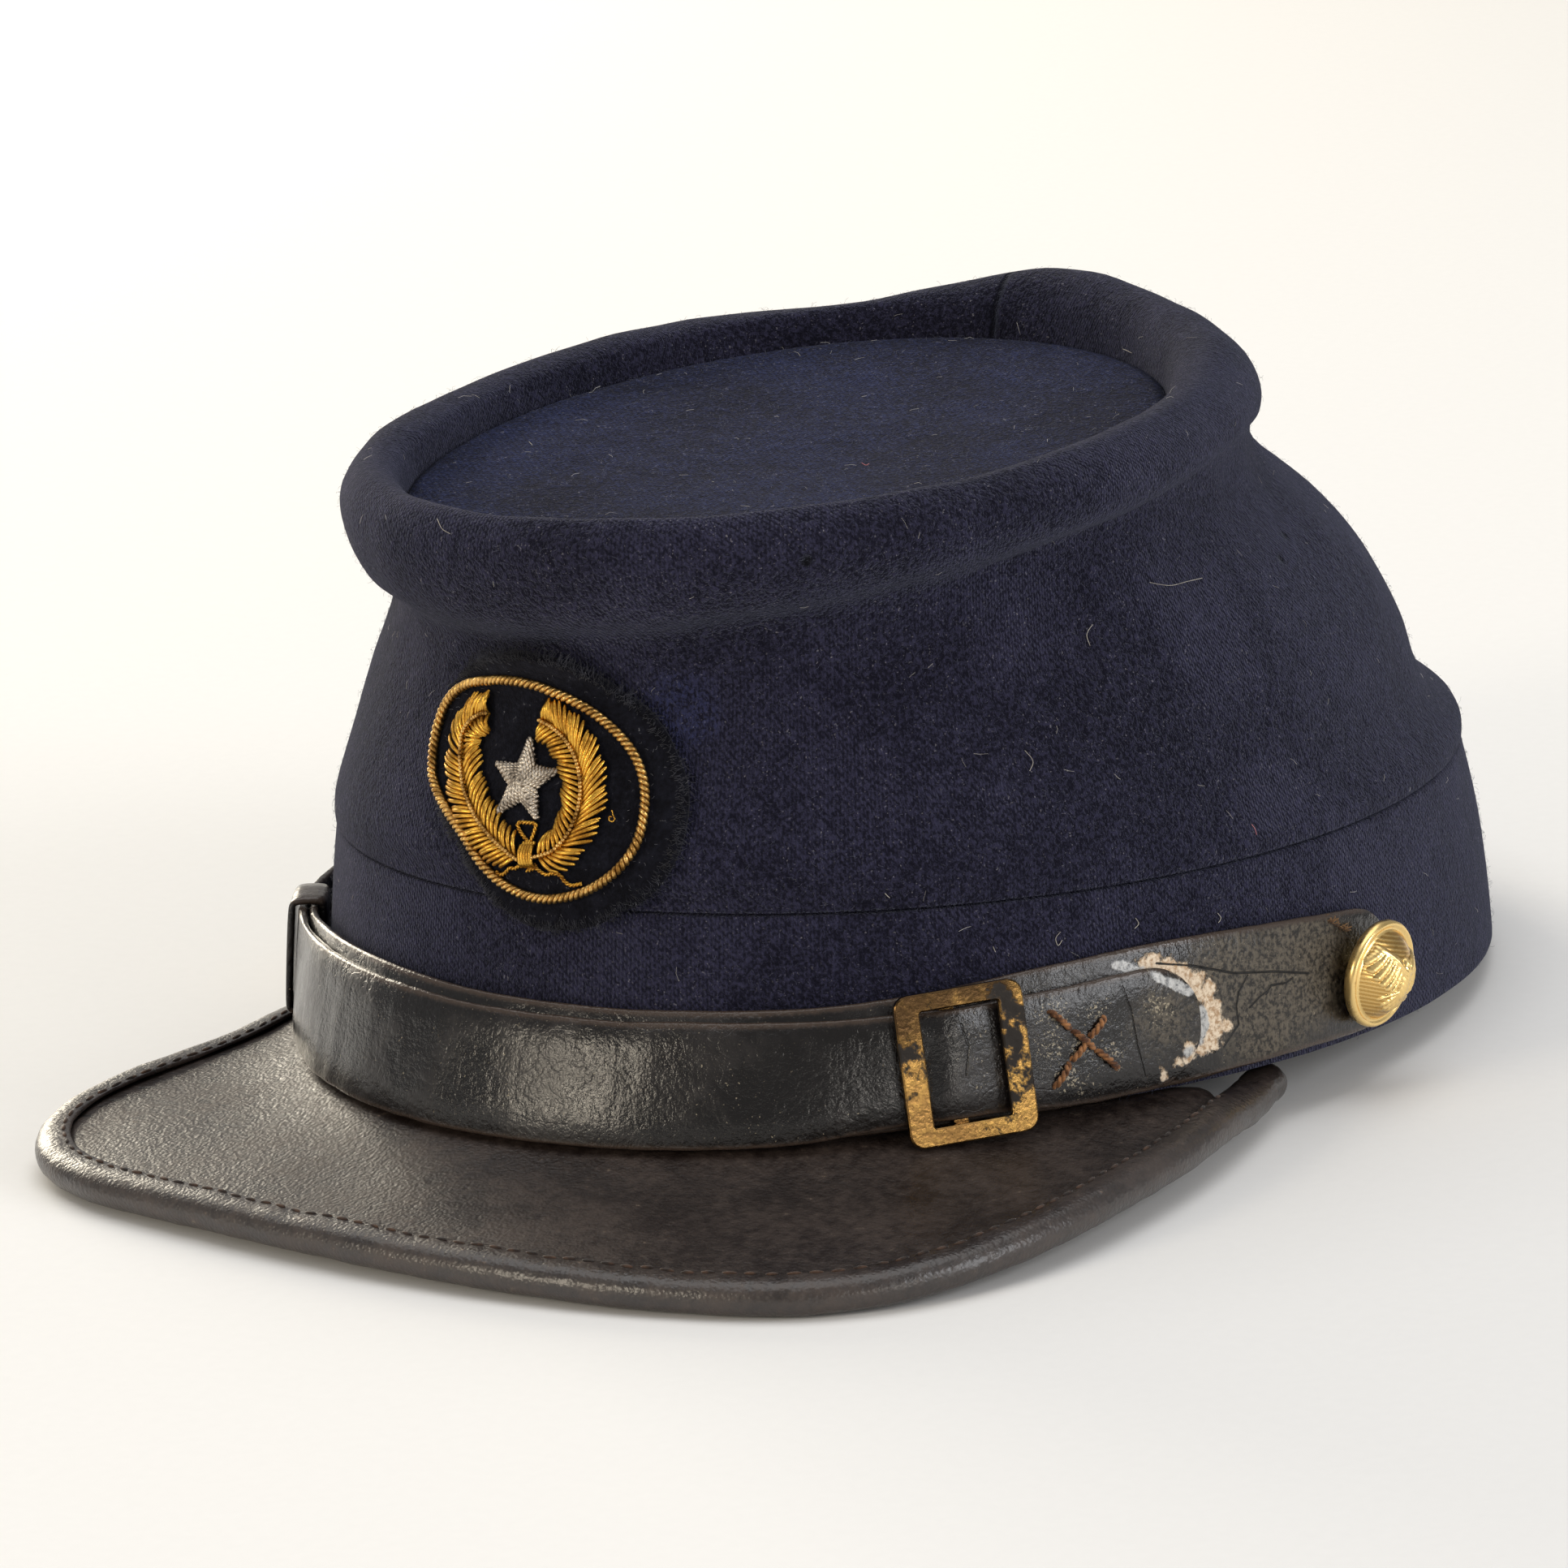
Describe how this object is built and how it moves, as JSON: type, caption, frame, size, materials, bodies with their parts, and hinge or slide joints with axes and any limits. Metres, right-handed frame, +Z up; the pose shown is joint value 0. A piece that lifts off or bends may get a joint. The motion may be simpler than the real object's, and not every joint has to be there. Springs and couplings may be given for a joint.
{
  "type": "forage cap",
  "caption": "Soft dark blue wool forage cap with a bound leather peak, a buckled chin strap on gilt buttons and a gold badge.",
  "frame": {"origin": "centre of the box of the resting cap, on the table plane it lies on", "axes": "+Z up, front of the cap towards -Y, wearer's left towards +X"},
  "size_m": [0.1722, 0.2356, 0.1019],
  "materials": {
    "navy_wool": "napped, matt",
    "black_wool": "napped, matt",
    "peak_leather": "polished, dusty",
    "strap_leather": "glossy, cracked",
    "worn_brass": "worn, tarnished",
    "gilt_brass": "gilt, satin",
    "gold_thread": "metal embroidery, satin",
    "silver_thread": "metal embroidery, satin"
  },
  "bodies": {
    "root": {"band": "navy_wool", "crown_side": "navy_wool", "crown_disc": "navy_wool", "peak": "peak_leather", "peak_binding": "peak_leather", "strap_long": "strap_leather", "strap_short": "strap_leather", "keeper": "strap_leather", "buckle": "worn_brass", "button_left": "gilt_brass", "button_right": "gilt_brass", "badge_patch": "black_wool", "badge_cord": "gold_thread", "wreath_left": "gold_thread", "wreath_right": "gold_thread", "wreath_tie": "gold_thread", "badge_star": "silver_thread"}
  },
  "joints": []
}
